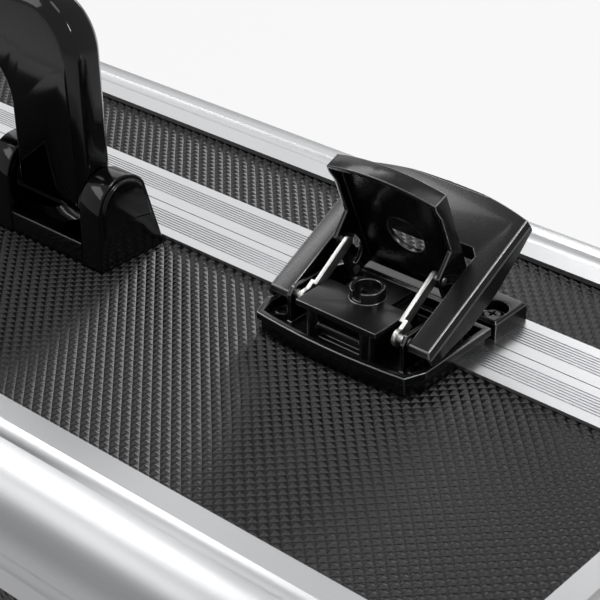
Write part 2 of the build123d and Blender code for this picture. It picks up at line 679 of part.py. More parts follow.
def latch_pins():
    """Three short pins a side, fast in the ears."""
    ear_out = EAR_INNER + EAR_THICK
    flap_in = FLAP_HALF - FLAP_SIDE - 0.1
    spans = ((flap_in, ear_out + 0.2), (EAR_INNER - 0.2, FRAME_INNER_HALF + FRAME_WEB + 0.2),
             (LINK_OUTER - LINK_THICK - 0.1, ear_out + 0.2))
    pins = []
    for sx in (-1, 1):
        for (y, z), (near, far) in zip(latch_pivots(), spans):
            x0, x1 = sorted((sx * near, sx * far))
            pins.append(rod_x(x0, x1, y, z, LATCH_PIN_RADIUS))
    return pins


# Flap: the pull cover with a bent lip and two deep side walls, slotted for the links
def link_end(part):
    """The link's free end in the closed flap's frame, at a share of the opening travel."""
    tilt = radians(LINK_CLOSED + LINK_SWING * part)
    y = LINK_PIVOT_Y + LINK_LENGTH * cos(tilt) - FLAP_PIVOT_Y
    z = LINK_PIVOT_Z + LINK_LENGTH * sin(tilt) - FLAP_PIVOT_Z
    back = radians(FLAP_OPEN * part)
    return (FLAP_PIVOT_Y + y * cos(back) - z * sin(back), FLAP_PIVOT_Z + y * sin(back) + z * cos(back))


def link_slot(x0, x1):
    """The curved slot the link's pin rides in, cut through one side wall."""
    half = LINK_PIN_RADIUS + SLOT_CLEARANCE
    places = [link_end(index / (SLOT_POINTS - 1)) for index in range(SLOT_POINTS)]
    slot = trace(Spline(*places), line_width=2 * half)
    for place in (places[0], places[-1]):
        slot += Pos(*place) * Circle(half)
    plane = Plane(origin=(x0, 0, 0), x_dir=(0, 1, 0), z_dir=(1, 0, 0))
    return extrude(plane * slot, amount=x1 - x0)


def flap_closed():
    y0, z0 = FLAP_PIVOT_Y, FLAP_PIVOT_Z
    under = FLAP_TOP - FLAP_THICK
    flap = Pos(0, 0, under) * extrude(bowed(FLAP_HALF, FLAP_BACK, FLAP_FRONT, FLAP_BOW), amount=FLAP_THICK)
    tip = FLAP_FRONT + FLAP_LIP_THICK
    lip = bowed(FLAP_HALF, tip, FLAP_FRONT, FLAP_BOW) - bowed(FLAP_HALF + 1, tip + 1, tip, FLAP_BOW)
    flap += Pos(0, 0, FLAP_LIP_LOW) * extrude(lip, amount=FLAP_TOP - FLAP_LIP_LOW)
    deep = y0 - 15.0
    wall = (
        (y0 + 2.0, under + 0.5), (y0 + 1.6, z0 + 1.5), (y0 + FLAP_LUG_RADIUS, z0),
        (y0, z0 - FLAP_LUG_RADIUS), (deep + 5.5, FLAP_SIDE_LOW), (deep, FLAP_SIDE_LOW),
        (y0 - 19.0, FLAP_PIN_PASS), (tip + 4.0, FLAP_PIN_PASS), (tip + 0.6, FLAP_LIP_LOW),
        (tip - 0.6, FLAP_LIP_LOW), (tip - 0.6, under + 0.5),
    )
    for sx in (-1, 1):
        x0, x1 = sorted((sx * FLAP_HALF, sx * (FLAP_HALF - FLAP_SIDE)))
        flap += side_shape(wall, x0, x1) + rod_x(x0, x1, y0, z0, FLAP_LUG_RADIUS)
        flap -= rod_x(x0 - 1, x1 + 1, y0, z0, LATCH_PIN_RADIUS + PIN_RUNNING)
        flap -= link_slot(x0 - 0.5, x1 + 0.5)
    return flap - rod_z(0, LOCK_Y, under - 1, FLAP_TOP + 1, KEY_HOLE_RADIUS)


# Draw frame: a U-shaped sheet cover with bevelled sides, its crossbar over the strike
def frame_closed():
    low, far = FRAME_SKIRT_LOW, FRAME_BACK + FRAME_BOW
    side = (
        (FRAME_FRONT, low + 3.75), (FRAME_FRONT, FRAME_TOP - 1.2), (FRAME_FRONT + 1.2, FRAME_TOP),
        (far - 0.8, FRAME_TOP), (far, FRAME_TOP - 0.8), (far - 0.5, low + 4.85),
        (FRAME_BACK - 8.3, low + 1.95), (FRAME_BACK - 18.1, low), (FRAME_FRONT + 14.8, low),
        (FRAME_FRONT + 6.8, low + 1.95), (FRAME_FRONT + 2.7, low + 2.35),
    )
    body = side_shape(side, -FRAME_HALF, FRAME_HALF)
    body &= extrude(bowed(FRAME_HALF, FRAME_FRONT - 1, FRAME_BACK, FRAME_BOW), amount=FRAME_TOP + 1)
    shoulder, top_half = FRAME_TOP - 2 * FRAME_BEVEL, FRAME_HALF - FRAME_BEVEL
    slope = Polyline((-FRAME_HALF, 0), (FRAME_HALF, 0), (FRAME_HALF, shoulder), (top_half, FRAME_TOP),
                     (-top_half, FRAME_TOP), (-FRAME_HALF, shoulder), close=True)
    plane = Plane(origin=(0, far + 1, 0), x_dir=(1, 0, 0), z_dir=(0, -1, 0))
    body &= extrude(plane * make_face(slope), amount=far - FRAME_FRONT + 2)
    inner, corner = FRAME_INNER_HALF, FRAME_WINDOW_CHAMFER
    window = Polyline((-inner, FRAME_FRONT - 1), (inner, FRAME_FRONT - 1), (inner, FRAME_WINDOW_BACK - corner),
                      (inner - corner, FRAME_WINDOW_BACK), (corner - inner, FRAME_WINDOW_BACK),
                      (-inner, FRAME_WINDOW_BACK - corner), close=True)
    body -= extrude(make_face(window), amount=FRAME_TOP + 1)
    roof = FRAME_TOP - FRAME_SHEET
    reach = FRAME_HALF - FRAME_SKIRT
    web = inner + FRAME_WEB
    cross_front = FRAME_WINDOW_BACK + FRAME_SHEET
    body -= extrude(bowed(reach, cross_front, FRAME_BACK - FRAME_SHEET - 0.6, FRAME_BOW), amount=roof)
    for sx in (-1, 1):
        x0, x1 = sorted((sx * web, sx * reach))
        body -= block(x0, x1, FRAME_FRONT - 1, cross_front + 0.1, 0, roof)
        x0, x1 = sorted((sx * (inner - 1), sx * (web + 1)))
        body -= rod_x(x0, x1, FRAME_PIVOT_Y, FRAME_PIVOT_Z, LATCH_PIN_RADIUS + PIN_RUNNING)
    return body


# Links: nickel strips with a joggle, an eye at the tray pin and a rivet in the flap's slot
def link(sx):
    half, kink = LINK_HALF_WIDTH, LINK_KINK
    out0, out1 = sorted((sx * LINK_OUTER, sx * (LINK_OUTER - LINK_THICK)))
    in0, in1 = sorted((sx * (LINK_OUTER - LINK_STEP), sx * (LINK_OUTER - LINK_STEP - LINK_THICK)))
    strip = block(out0, out1, 0, kink, -half, half) + rod_x(out0, out1, 0, 0, LINK_EYE)
    strip += block(in0, in1, kink - 1, LINK_LENGTH, -half, half) + rod_x(in0, in1, LINK_LENGTH, 0, half)
    strip += block(min(out0, in0), max(out1, in1), kink - 1, kink, -half, half)
    strip -= rod_x(out0 - 1, out1 + 1, 0, 0, LATCH_PIN_RADIUS + PIN_RUNNING)
    p0, p1 = sorted((sx * (LINK_OUTER - LINK_STEP - 0.5), sx * (FLAP_HALF + 0.1)))
    return strip + rod_x(p0, p1, LINK_LENGTH, 0, LINK_PIN_RADIUS)


def links_open():
    tilt = LINK_CLOSED + LINK_SWING
    return [Pos(0, LINK_PIVOT_Y, LINK_PIVOT_Z) * Rot(tilt, 0, 0) * link(sx) for sx in (-1, 1)]


# Lock: housing, cover plate with a collar, and the turning key core
def lock_plate():
    low = PLATE_TOP - PLATE_THICK
    tongue = PLATE_TONGUE_HALF
    points = ((-PLATE_HALF, PLATE_FRONT), (PLATE_HALF, PLATE_FRONT), (PLATE_HALF, PLATE_SHOULDER),
              (tongue, PLATE_SHOULDER), (tongue, PLATE_BACK), (-tongue, PLATE_BACK),
              (-tongue, PLATE_SHOULDER), (-PLATE_HALF, PLATE_SHOULDER))
    plate = Pos(0, 0, low) * extrude(make_face(Polyline(*points, close=True)), amount=PLATE_THICK)
    plate += block(-HOUSING_HALF, HOUSING_HALF, HOUSING_FRONT, HOUSING_BACK, TRAY_FLOOR, low)
    plate -= block(-HOUSING_HALF + 2.4, HOUSING_HALF - 2.4, HOUSING_FRONT - 1, HOUSING_FRONT + 1.6,
                   TRAY_FLOOR + 1.2, low - 1)
    for sx in (-1, 1):
        plate += rod_z(sx * (HOUSING_HALF - 1), HOUSING_FRONT + 0.6, TRAY_FLOOR, low, POST_RADIUS)
    bar = HOUSING_HALF - 2
    plate += rod_x(-bar, bar, HOUSING_FRONT + 0.6, (TRAY_FLOOR + low) / 2, BAR_RADIUS)
    plate += rod_z(0, LOCK_Y, low, RING_TOP, RING_RADIUS)
    front = LOCK_Y - RING_RADIUS - 1
    plate -= block(-COLLAR_GAP / 2, COLLAR_GAP / 2, front, LOCK_Y, RING_TOP - CORE_RECESS + 0.2, RING_TOP + 1)
    return plate - rod_z(0, LOCK_Y, RING_TOP - CORE_DEPTH, RING_TOP + 1, CORE_RADIUS + PIN_RUNNING)


def lock_core():
    top = RING_TOP - CORE_RECESS
    core = rod_z(0, LOCK_Y, RING_TOP - CORE_DEPTH, top, CORE_RADIUS)
    reach = CORE_RADIUS * 0.62
    return core - block(-reach, reach, LOCK_Y - KEY_SLOT / 2, LOCK_Y + KEY_SLOT / 2, top - 4, top + 1)


# Strike on the lid: a low block with bevelled edges and two screw wells
def strike():
    body = block(-STRIKE_HALF, STRIKE_HALF, STRIKE_FRONT, STRIKE_BACK, RAIL_PROUD, STRIKE_TOP)
    body = chamfer(body.edges().group_by(Axis.Z)[-1], STRIKE_BEVEL)
    for sx in (-1, 1):
        x = sx * STRIKE_WELL_X
        body -= rod_z(x, STRIKE_WELL_Y, STRIKE_TOP - STRIKE_WELL_DEPTH, STRIKE_TOP + 1, STRIKE_WELL_RADIUS)
        body -= rod_z(x, STRIKE_WELL_Y, 0, STRIKE_TOP, SCREW_SHANK + SCREW_PLAY)
    return body


def strike_screw(sx):
    return screw(sx * STRIKE_WELL_X, STRIKE_WELL_Y, STRIKE_TOP - STRIKE_WELL_DEPTH, RAIL_PROUD)


def latch_parts(side, x):
    flap = turned(flap_closed(), FLAP_PIVOT_Y, FLAP_PIVOT_Z, -FLAP_OPEN)
    frame = turned(frame_closed(), FRAME_PIVOT_Y, FRAME_PIVOT_Z, FRAME_OPEN)
    write("latch_tray_" + side, on_face(tray(), x))
    write("latch_pins_" + side, *[on_face(pin, x) for pin in latch_pins()])
    write("latch_flap_" + side, on_face(flap, x))
    write("latch_frame_" + side, on_face(frame, x))
    write("latch_links_" + side, *[on_face(one, x) for one in links_open()])
    write("lock_plate_" + side, on_face(lock_plate(), x))
    write("lock_core_" + side, on_face(lock_core(), x))
    write("latch_strike_" + side, on_face(strike(), x))


def latch_screw_parts():
    tray_screws, strike_screws = [], []
    for x in (-LATCH_X, LATCH_X):
        for sx in (-1, 1):
            for px, py in TRAY_SCREWS:
                tray_screws.append(on_face(screw(sx * px, py, TRAY_FLOOR, 0.5 - SCREW_BITE), x))
            strike_screws.append(on_face(strike_screw(sx), x))
    write("latch_tray_screws", *tray_screws)
    write("latch_strike_screws", *strike_screws)


def base_screw_places():
    places = []
    for x in (-LATCH_X, LATCH_X):
        places += [(x + sx * px, py) for sx in (-1, 1) for px, py in TRAY_SCREWS]
    for x in (-BRACKET_X, BRACKET_X):
        places += [(x + sx * BRACKET_SCREW_FROM_CENTRE, PIVOT_Y) for sx in (-1, 1)]
    return places


def main():
    os.makedirs("parts", exist_ok=True)
    base_y, lid_y = Y_PART - BASE_DEPTH, Y_PART + LID_DEPTH
    half_panels("base", base_y, 1, base_screw_places())
    half_panels("lid", lid_y, -1, ())
    half_edges("base", base_y, 1)
    half_edges("lid", lid_y, -1)
    half_caps("base", base_y, 1)
    half_caps("lid", lid_y, -1)
    half_rails("base", BASE_RAIL_WIDTH, 1, False, BASE_RIB_START)
    half_rails("lid", LID_RAIL_WIDTH, -1, True, LID_RIB_START)
    foam_parts()
    feet_parts()
    hinge_parts("left", -HINGE_X)
    hinge_parts("right", HINGE_X)
    handle_parts()
    latch_parts("left", -LATCH_X)
    latch_parts("right", LATCH_X)
    latch_screw_parts()
    print("parting line at Y", Y_PART, "panel face at Z", Z_FACE, "hinge axis at Z", HINGE_Z)


main()
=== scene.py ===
# %% [markdown]
# # A carrying case for a desk mixer
# The case stands on its hinge side, with its handle and two key latches on top. The picture is
# a close view of that top face, taken from the front right, so fine grain and small hardware
# matter more here than the outline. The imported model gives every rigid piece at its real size.
# This script gives each piece the surface that the real one has. The grained front panels, the
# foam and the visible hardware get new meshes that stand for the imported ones.

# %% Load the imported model
import json

import bmesh
import bpy
import numpy as np
from mathutils import Matrix, Vector

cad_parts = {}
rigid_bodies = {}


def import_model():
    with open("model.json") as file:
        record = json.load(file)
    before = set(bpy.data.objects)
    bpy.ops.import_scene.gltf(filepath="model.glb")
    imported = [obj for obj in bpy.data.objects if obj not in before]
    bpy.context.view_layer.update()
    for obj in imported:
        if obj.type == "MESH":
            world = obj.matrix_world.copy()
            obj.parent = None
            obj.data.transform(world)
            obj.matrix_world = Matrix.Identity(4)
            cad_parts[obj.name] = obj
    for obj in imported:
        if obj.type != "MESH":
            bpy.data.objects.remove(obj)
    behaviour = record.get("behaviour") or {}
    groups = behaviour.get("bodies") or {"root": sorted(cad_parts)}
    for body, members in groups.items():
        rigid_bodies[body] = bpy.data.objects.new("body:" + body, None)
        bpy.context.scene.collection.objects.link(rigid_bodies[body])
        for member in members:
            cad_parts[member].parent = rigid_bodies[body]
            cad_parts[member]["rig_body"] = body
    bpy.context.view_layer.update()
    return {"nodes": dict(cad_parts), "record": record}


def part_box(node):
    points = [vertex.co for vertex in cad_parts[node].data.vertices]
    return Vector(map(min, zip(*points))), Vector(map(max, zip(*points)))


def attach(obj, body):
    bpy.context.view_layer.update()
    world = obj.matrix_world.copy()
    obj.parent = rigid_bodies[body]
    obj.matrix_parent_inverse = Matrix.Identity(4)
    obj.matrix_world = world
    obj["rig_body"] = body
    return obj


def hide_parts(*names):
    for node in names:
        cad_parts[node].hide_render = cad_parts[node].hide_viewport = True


MM = 0.001

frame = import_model()
nodes = frame["nodes"]
print("nodes in the frame:", len(nodes))

# %% [markdown]
# ## The camera
# The pyramids of the panel grain stand on a regular lattice, so the picture's own grid gives the
# lens, the place and the tilt of the camera. The rotation is written as the three directions
# that the camera's right, up and back sides point in, which leaves no order of angles to guess.

# %% Place the camera
CAMERA_PLACE = (0.41544, -0.27568, 0.67961)
CAMERA_RIGHT = (0.7457, 0.6660, -0.0192)
CAMERA_UP = (-0.3327, 0.3971, 0.8554)
LENS_MM = 105.0
SENSOR_MM = 36.0
CLIP_NEAR, CLIP_FAR = 0.02, 50.0

camera_data = bpy.data.cameras.new("close_camera")
camera_data.lens = LENS_MM
camera_data.sensor_width = SENSOR_MM
camera_data.clip_start, camera_data.clip_end = CLIP_NEAR, CLIP_FAR
camera = bpy.data.objects.new("close_camera", camera_data)
right, up = Vector(CAMERA_RIGHT).normalized(), Vector(CAMERA_UP)
back = right.cross(up).normalized()
up = back.cross(right)
turn = Matrix((right, up, back)).transposed().to_4x4()
camera.matrix_world = Matrix.Translation(CAMERA_PLACE) @ turn
bpy.context.scene.collection.objects.link(camera)
bpy.context.scene.camera = camera

# %% [markdown]
# ## Shader maths as ordinary expressions
# A material is a small formula, and a formula reads best as one. The class below wraps one
# output socket of a node. Adding, multiplying or comparing wrapped sockets adds the Math node
# that does it, and `node` adds any other kind in one call, settings first.

# %% Wrap a socket so that it can be used in sums
class Wire:
    """One output socket inside a node tree, which adds, subtracts and multiplies like a number."""

    def __init__(self, tree, socket):
        self.tree, self.socket = tree, socket

    def maths(self, operation, other=None, swap=False):
        step = self.tree.nodes.new("ShaderNodeMath")
        step.operation = operation
        values = [self] if other is None else [other, self] if swap else [self, other]
        for slot, value in zip(step.inputs, values):
            plug(self.tree, slot, value)
        return Wire(self.tree, step.outputs[0])

    def __add__(self, other):
        return self.maths("ADD", other)

    __radd__ = __add__

    def __sub__(self, other):
        return self.maths("SUBTRACT", other)

    def __rsub__(self, other):
        return self.maths("SUBTRACT", other, swap=True)

    def __mul__(self, other):
        return self.maths("MULTIPLY", other)

    __rmul__ = __mul__

    def __abs__(self):
        return self.maths("ABSOLUTE")

    def high(self, other):
        return self.maths("MAXIMUM", other)

    def fraction(self):
        return self.maths("FRACT")


def plug(tree, slot, value):
    """Set a socket to a value, or link a wrapped socket to it."""
    if isinstance(value, Wire):
        tree.links.new(value.socket, slot)
    else:
        slot.default_value = value


class Finish:
    """A material in the making: one Principled shader and the nodes that feed it."""

    def __init__(self, name):
        self.material = bpy.data.materials.new(name)
        self.material.use_nodes = True
        self.tree = self.material.node_tree
        self.shader = self.tree.nodes["Principled BSDF"]

    def node(self, kind, output=0, settings=None, **inputs):
        """Add a node of a kind, give its settings, then the values or links of its sockets."""
        step = self.tree.nodes.new(kind)
        for key, value in (settings or {}).items():
            setattr(step, key, value)
        for name, value in inputs.items():
            plug(self.tree, step.inputs[name.replace("_", " ")], value)
        return Wire(self.tree, step.outputs[output])

    def place(self):
        """The point's own X, Y and Z in metres, and the vector itself."""
        spot = self.node("ShaderNodeTexCoord", 3)
        step = self.tree.nodes.new("ShaderNodeSeparateXYZ")
        self.tree.links.new(spot.socket, step.inputs[0])
        return [Wire(self.tree, socket) for socket in step.outputs], spot

    def stretched(self, spot, scale):
        """The point scaled by a different amount along each axis."""
        return self.node("ShaderNodeMapping", Vector=spot, Scale=scale)

    def noise(self, spot, size, detail=3.0):
        """Soft noise whose blotches are about size metres across."""
        return self.node("ShaderNodeTexNoise", Vector=spot, Scale=1.0 / size, Detail=detail)

    def between(self, part, low, high):
        """A colour mixed from low to high by a 0 to 1 share."""
        step = self.tree.nodes.new("ShaderNodeMix")
        step.data_type = "RGBA"
        plug(self.tree, step.inputs["Factor"], part)
        plug(self.tree, step.inputs[6], (*low, 1.0))
        plug(self.tree, step.inputs[7], (*high, 1.0))
        return Wire(self.tree, step.outputs[2])

    def ramp(self, value, low, high):
        """0 below low, 1 above high, straight between."""
        return self.node("ShaderNodeMapRange", settings={"clamp": True}, Value=value,
                         **{"From_Min": low, "From_Max": high})

    def bump(self, height, depth):
        """A normal tilted by a 0 to 1 height that stands depth metres proud."""
        return self.node("ShaderNodeBump", Height=height, Distance=depth, Strength=1.0)

    def set(self, **inputs):
        """Give the shader's sockets their values or links, and hand back the material."""
        for name, value in inputs.items():
            plug(self.tree, self.shader.inputs[name.replace("_", " ")], value)
        return self.material


# %% [markdown]
# ## Stage and light
# The picture's background burns out to white, yet the black parts stay deep. So the world is dim
# and the floor is a plain pale one. Light Path adds the white where the camera itself looks at
# them, and a small share of it in mirrored and transmitted rays. Polished black shows its shape
# only by what it mirrors, so a few soft boxes stand where their reflections fall on the rails,
# the tips of the grain and the rounded latch edges.

# %% Floor, world and lamps
WORLD_LEVEL = 0.20
FLOOR_HALF = 6.0
FLOOR_WHITE_SHARE = 0.86
MIRRORED_SHARE = 0.16


def white_to_camera(tree, plain, glow_kind, share):
    """Mix white into what the camera sees of the world or the floor, less in mirrored rays."""
    path = tree.nodes.new("ShaderNodeLightPath")
    glow = tree.nodes.new(glow_kind)
    glow.inputs["Color"].default_value = (1, 1, 1, 1)
    glow.inputs["Strength"].default_value = 1.0
    mix = tree.nodes.new("ShaderNodeMixShader")
    seen = Wire(tree, path.outputs["Is Camera Ray"])
    glossy = Wire(tree, path.outputs["Is Glossy Ray"])
    mirrored = glossy + Wire(tree, path.outputs["Is Transmission Ray"])
    plug(tree, mix.inputs[0], (seen + mirrored * MIRRORED_SHARE) * share)
    tree.links.new(plain.outputs[0], mix.inputs[1])
    tree.links.new(glow.outputs[0], mix.inputs[2])
    return mix.outputs[0]


world = bpy.data.worlds.new("studio")
bpy.context.scene.world = world
world.use_nodes = True
sky_nodes = world.node_tree
sky = sky_nodes.nodes["Background"]
sky.inputs["Color"].default_value = (1, 1, 1, 1)
sky.inputs["Strength"].default_value = WORLD_LEVEL
white_sky = white_to_camera(sky_nodes, sky, "ShaderNodeBackground", 1.0)
sky_nodes.links.new(white_sky, sky_nodes.nodes["World Output"].inputs[0])

floor_mesh = bpy.data.meshes.new("floor")
corner_signs = ((-1, -1), (1, -1), (1, 1), (-1, 1))
corners = [(sx * FLOOR_HALF, sy * FLOOR_HALF, 0) for sx, sy in corner_signs]
floor_mesh.from_pydata(corners, [], [(0, 1, 2, 3)])
floor = bpy.data.objects.new("floor", floor_mesh)
bpy.context.scene.collection.objects.link(floor)
floor_finish = Finish("pale_floor")
floor_mesh.materials.append(floor_finish.set(Base_Color=(0.85, 0.85, 0.85, 1), Roughness=0.9))
floor_tree = floor_finish.tree
pale = white_to_camera(floor_tree, floor_finish.shader, "ShaderNodeEmission", FLOOR_WHITE_SHARE)
floor_tree.links.new(pale, floor_tree.nodes["Material Output"].inputs[0])


def soft_box(name, place, aim, size, power):
    """A rectangular soft light at a place, turned to face a point."""
    data = bpy.data.lights.new(name, "AREA")
    data.shape = "RECTANGLE"
    data.size, data.size_y = size
    data.energy = power
    lamp = bpy.data.objects.new(name, data)
    lamp.location = place
    way = Vector(aim) - Vector(place)
    lamp.rotation_euler = way.to_track_quat("-Z", "Y").to_euler()
    bpy.context.scene.collection.objects.link(lamp)


AIM = (0.15, 0.03, 0.45)
soft_box("back_box", (-1.05, 1.35, 1.35), AIM, (1.8, 1.1), 4.4)
soft_box("tip_box", (-0.45, 1.75, 1.15), AIM, (0.5, 0.5), 4.0)
soft_box("top_box", (0.30, 0.05, 2.3), AIM, (1.0, 0.8), 4.6)
soft_box("plate_box", (-0.95, 0.10, 1.75), AIM, (0.7, 0.4), 4.6)
soft_box("right_edge_box", (1.35, 0.10, 1.55), AIM, (0.35, 0.35), 5.5)
soft_box("front_edge_box", (-0.85, -0.85, 1.55), AIM, (0.8, 0.5), 2.2)
bpy.context.scene.view_settings.view_transform = "Standard"

# %% [markdown]
# ## The panel grain
# The black laminate is pressed into rows of tiny square pyramids, 2.4 mm from ridge to ridge and
# turned 45 degrees to the case. Close to the camera a painted bump would look flat, so the two
# front sheets are real pyramids. The far panels use the same formula as a bump.

# %% Laminate, with the lattice as a bump for the far panels
GRAIN_PITCH = 2.4 * MM
GRAIN_HEIGHT = 0.55 * MM
SPECK_SIZE = 0.35 * MM
SPECK_DEPTH = 0.10 * MM
CLOUD_SIZE = 40 * MM


def laminate(name, plane_axes):
    """Black laminate. Pyramids: 1 minus the larger of two triangle waves along X+Y and X-Y."""
    finish = Finish(name)
    axes, spot = finish.place()
    speck = finish.noise(spot, SPECK_SIZE, 2.0)
    cloud = finish.noise(spot, CLOUD_SIZE, 2.0)
    base = finish.between(cloud, (0.0035, 0.0035, 0.0038), (0.0065, 0.0065, 0.007))
    height = speck * 0.25
    if plane_axes:
        u, v = axes[plane_axes[0]], axes[plane_axes[1]]
        scale = 1.0 / (GRAIN_PITCH * 2 ** 0.5)
        first = abs(((u + v) * scale).fraction() - 0.5) * 2.0
        second = abs(((u - v) * scale).fraction() - 0.5) * 2.0
        height = 1.0 - first.high(second) + height
    rough = 0.24 + 0.16 * speck
    depth = GRAIN_HEIGHT if plane_axes else SPECK_DEPTH
    return finish.set(Base_Color=base, Roughness=rough, Normal=finish.bump(height, depth),
                      Specular_IOR_Level=0.5)


laminate_sheet = laminate("laminate_close", None)
laminate_flat = laminate("laminate_flat_face", (0, 2))
laminate_end = laminate("laminate_end_face", (1, 2))
laminate_long = laminate("laminate_long_face", (0, 1))

# %% [markdown]
# The close sheets: peaks stand on a square grid turned 45 degrees, as the dark fields of a chess
# board do. Each field is split in two both ways, so a pyramid has a middle ring of points. That
# ring is lifted a little above the straight slope, which leaves a narrow groove between
# neighbours and a blunt tip, as a heated press does. The plain panel's outer edge stays hidden
# in the slot of the edge bar.

# %% Build one sheet of real pyramids
SLOPE_LIFT = 0.10


def mesh_from(name, points, faces):
    """A mesh object from an array of points and an array of corner numbers."""
    mesh = bpy.data.meshes.new(name)
    mesh.from_pydata(points.tolist(), [], faces.tolist())
    mesh.update()
    piece = bpy.data.objects.new(name, mesh)
    bpy.context.scene.collection.objects.link(piece)
    return piece


def pyramid_sheet(name, node):
    """Height runs from 0 to 1: 1 - max(|fold(u + v)|, |fold(u - v)|), then lifted."""
    low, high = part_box(node)
    step = GRAIN_PITCH / 2 ** 0.5
    columns = 2 * int((high.x - low.x) / step) + 1
    rows = 2 * int((high.y - low.y) / step) + 1
    i, j = np.meshgrid(np.arange(columns), np.arange(rows), indexing="ij")
    first = np.abs(((i + j) / 4 + 0.5) % 1 - 0.5) * 2
    second = np.abs(((i - j) / 4 + 0.5) % 1 - 0.5) * 2
    share = 1 - np.maximum(first, second)
    share = share + SLOPE_LIFT * np.sin(np.pi * share)
    x = np.linspace(low.x, high.x, columns)[i]
    y = np.linspace(low.y, high.y, rows)[j]
    points = np.stack([x, y, high.z - GRAIN_HEIGHT * (1 - share)], axis=-1).reshape(-1, 3)
    number = i * rows + j
    a, b = number[:-1, :-1].ravel(), number[1:, :-1].ravel()
    c, d = number[1:, 1:].ravel(), number[:-1, 1:].ravel()
    even = ((i + j) % 2 == 0)[:-1, :-1].ravel()[:, None]
    upper = np.where(even, np.stack([a, b, c], 1), np.stack([a, b, d], 1))
    lower = np.where(even, np.stack([a, c, d], 1), np.stack([b, c, d], 1))
    return skirted(name, points, np.concatenate([upper, lower]), number, low.z)


def rim_of(number):
    """The point numbers once round the rim of a grid."""
    return np.concatenate([number[:-1, 0], number[-1, :-1], number[:0:-1, -1], number[0, :0:-1]])


def skirted(name, points, faces, number, floor_z):
    """Close a height sheet with a flat underside joined to its rim."""
    rim = rim_of(number)
    under = points[rim].copy()
    under[:, 2] = floor_z
    start = len(points)
    ring = np.arange(len(rim))
    following = np.roll(ring, -1)
    wall_a = np.stack([rim[ring], start + ring, start + following], 1)
    wall_b = np.stack([rim[ring], start + following, rim[following]], 1)
    centre = start + len(rim)
    middle = points.mean(axis=0)
    middle[2] = floor_z
    fan = np.stack([start + following, start + ring, np.full(len(rim), centre)], 1)
    whole = np.concatenate([points, under, middle[None]])
    return mesh_from(name, whole, np.concatenate([faces, wall_a, wall_b, fan]))


for half in ("base", "lid"):
    sheet = pyramid_sheet(half + "_grain_sheet", half + "_front_panel")
    sheet.data.materials.append(laminate_sheet)
    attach(sheet, half)
    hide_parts(half + "_front_panel")
    print(sheet.name, "triangles:", len(sheet.data.polygons))

# %% [markdown]
# ## Aluminium
# The edge bars and rails are anodised extrusions. Drawing leaves hair lines along each bar, and
# anodising leaves a soft, slightly milky shine. The hair lines are noise squeezed thin across
# the bar and pulled long down it, so each direction of bar has its own stretch.

# %% Anodised bars in three directions
HAIR_WIDTH = 0.12 * MM
HAIR_LENGTH = 80 * MM
HAIR_DEPTH = 0.004 * MM
MILK_SIZE = 25 * MM


def anodised(name, along, colour, darker, rough):
    """Hair lines: noise squeezed thin across the bar and pulled long down it."""
    finish = Finish(name)
    _, spot = finish.place()
    thin, long = 1.0 / HAIR_WIDTH, 1.0 / HAIR_LENGTH
    scale = tuple(long if axis == along else thin for axis in range(3))
    hair = finish.noise(finish.stretched(spot, scale), 1.0, 2.0)
    cloud = finish.noise(spot, MILK_SIZE, 3.0)
    tone = finish.between(hair * 0.6 + cloud * 0.4, darker, colour)
    return finish.set(Base_Color=tone, Metallic=1.0, Roughness=rough + 0.14 * hair,
                      Normal=finish.bump(hair, HAIR_DEPTH))


BAR_LIGHT, BAR_DARK = (0.74, 0.745, 0.755), (0.62, 0.625, 0.64)
RAIL_LIGHT, RAIL_DARK = (0.80, 0.805, 0.815), (0.62, 0.625, 0.64)
bar_along = []
for axis in range(3):
    bar_along.append(anodised("edge_bar_" + "xyz"[axis], axis, BAR_LIGHT, BAR_DARK, 0.30))
rail_along_x = anodised("rail_metal", 0, RAIL_LIGHT, RAIL_DARK, 0.26)
cap_metal = anodised("cap_metal", 1, (0.70, 0.70, 0.715), (0.58, 0.58, 0.60), 0.28)
hinge_metal = anodised("hinge_metal", 0, (0.62, 0.63, 0.66), (0.50, 0.51, 0.54), 0.33)

# %% [markdown]
# ## Black hardware
# The latch is die-cast and pressed metal with a smooth black coat: a deep base, a clear soft
# shine, and the faint waviness of a sprayed film. The handle and its brackets are polished
# black mouldings, glossier still, with almost no texture.

# %% Black coat, polished moulding, nickel and rubber
CROWN_HALF = 26.6 * MM
CROWN_DROP = 1.1 * MM
WAVE_SIZE = 3.0 * MM
DUST_SIZE = 0.8 * MM


def black_coat(name, colour, rough, ripple, crown_at=None):
    """A sprayed film: low noise tilts the normal, and a crown (x / half)^2 bows a flat face."""
    finish = Finish(name)
    axes, spot = finish.place()
    wave = finish.noise(spot, WAVE_SIZE, 2.0)
    fine = finish.noise(spot, SPECK_SIZE, 2.0)
    dust = finish.ramp(finish.noise(spot, DUST_SIZE, 4.0), 0.62, 0.78)
    tone = finish.between(dust * 0.5, colour, tuple(3.0 * part + 0.004 for part in colour))
    relief = (wave * 0.7 + fine * 0.3) * ripple
    if crown_at is not None:
        across = (axes[0] - crown_at) * (1.0 / CROWN_HALF)
        relief = relief - across * across * CROWN_DROP
    return finish.set(Base_Color=tone, Roughness=rough + 0.08 * fine + 0.10 * dust,
                      Normal=finish.bump(relief, 1.0), Coat_Weight=0.15, Coat_Roughness=0.08)


BLOT_SIZE = 1.6 * MM
SCRATCH_STRETCH = (900.0, 5000.0, 900.0)
SCRATCH_DEPTH = 0.01 * MM


